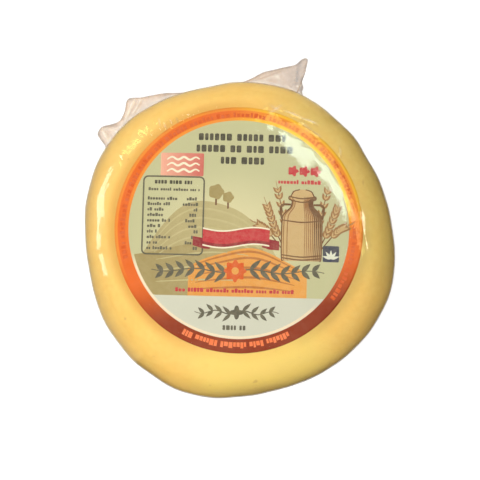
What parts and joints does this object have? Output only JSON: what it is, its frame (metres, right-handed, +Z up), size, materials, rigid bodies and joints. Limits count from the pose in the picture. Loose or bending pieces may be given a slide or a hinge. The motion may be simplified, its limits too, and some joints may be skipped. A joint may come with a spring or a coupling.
{
  "type": "vacuum-packed wheel of manchego cheese",
  "caption": "Small flat wheel of pale yellow cheese with soft rounded edges, a round paper label on top and a skin-tight clear film whose sealed corners stand out at one side.",
  "frame": {"origin": "middle of the flat underside, on the surface the wheel rests on", "axes": "+Z up through the label, which is the shortest extent; +Y towards the sealed end of the film; +X to the right of the label's print"},
  "size_m": [0.1277, 0.141, 0.0429],
  "materials": {
    "cheese": "smooth pale butter-yellow rind, waxy, slightly mottled",
    "label_paper": "printed paper sticker: an orange to brick-red ring round a sage-green and cream field",
    "clear_film": "thin clear glossy shrink film, faintly milky where it is doubled at the seal"
  },
  "bodies": {
    "root": {"cheese_wheel": "cheese", "label": "label_paper", "film_wrap": "clear_film"}
  },
  "joints": []
}
